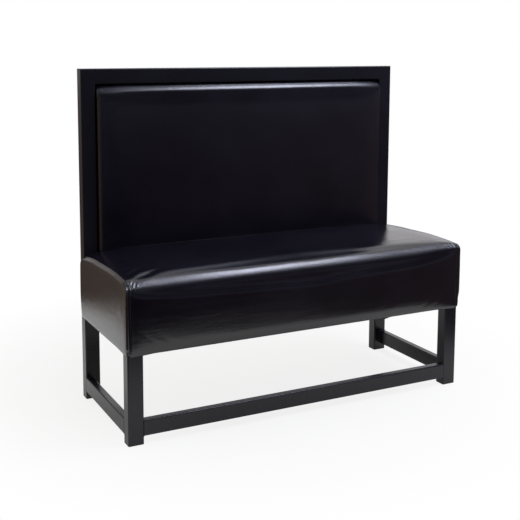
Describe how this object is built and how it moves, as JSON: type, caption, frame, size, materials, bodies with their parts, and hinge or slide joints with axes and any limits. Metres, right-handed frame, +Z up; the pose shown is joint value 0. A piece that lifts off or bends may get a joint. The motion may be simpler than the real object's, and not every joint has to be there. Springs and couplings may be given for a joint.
{
  "type": "booth seating",
  "caption": "Armless upholstered bench seat with a thick boxed cushion and an upright back pad held in a welded square-cornered tube frame on four legs.",
  "frame": {"origin": "on the floor under the middle of the bench's bounding box", "axes": "+Z up, +X along the width of the bench to its right seen from the front, +Y from the front to the back"},
  "size_m": [1.229, 0.462, 1.11],
  "materials": {
    "frame_paint": "satin black powder coat",
    "glide_plastic": "moulded black plastic",
    "plywood": "unfinished plywood",
    "black_vinyl": "glossy black upholstery vinyl",
    "foam": "cut polyurethane foam",
    "dust_cloth": "black non-woven cloth",
    "screw_steel": "zinc plated steel"
  },
  "bodies": {
    "root": {"front_leg_left": "frame_paint", "front_leg_right": "frame_paint", "back_post_left": "frame_paint", "back_post_right": "frame_paint", "back_top_rail": "frame_paint", "back_lower_rail": "frame_paint", "front_stretcher": "frame_paint", "side_stretcher_left": "frame_paint", "side_stretcher_right": "frame_paint", "seat_rail_front": "frame_paint", "seat_rail_rear": "frame_paint", "seat_rail_left": "frame_paint", "seat_rail_right": "frame_paint", "seat_rail_middle": "frame_paint", "back_tabs_left": "frame_paint", "back_tabs_right": "frame_paint", "back_tabs_top": "frame_paint", "back_tabs_bottom": "frame_paint", "deck_tabs_front": "frame_paint", "deck_tabs_rear": "frame_paint", "foot_glide_front_left": "glide_plastic", "foot_glide_front_right": "glide_plastic", "foot_glide_rear_left": "glide_plastic", "foot_glide_rear_right": "glide_plastic", "seat_deck": "plywood", "apron_front": "plywood", "apron_left": "plywood", "apron_right": "plywood", "apron_rear": "plywood", "back_board": "plywood", "seat_cover_top": "black_vinyl", "seat_cover_left": "black_vinyl", "seat_cover_right": "black_vinyl", "seat_cover_rear": "black_vinyl", "back_cover": "black_vinyl", "back_boxing_left": "black_vinyl", "back_boxing_right": "black_vinyl", "back_rear_panel": "black_vinyl", "seat_foam": "foam", "seat_wrap_front": "foam", "seat_wrap_left": "foam", "seat_wrap_right": "foam", "back_foam": "foam", "dust_cover": "dust_cloth", "deck_screws": "screw_steel", "board_screws": "screw_steel", "panel_screws": "screw_steel"}
  },
  "joints": []
}
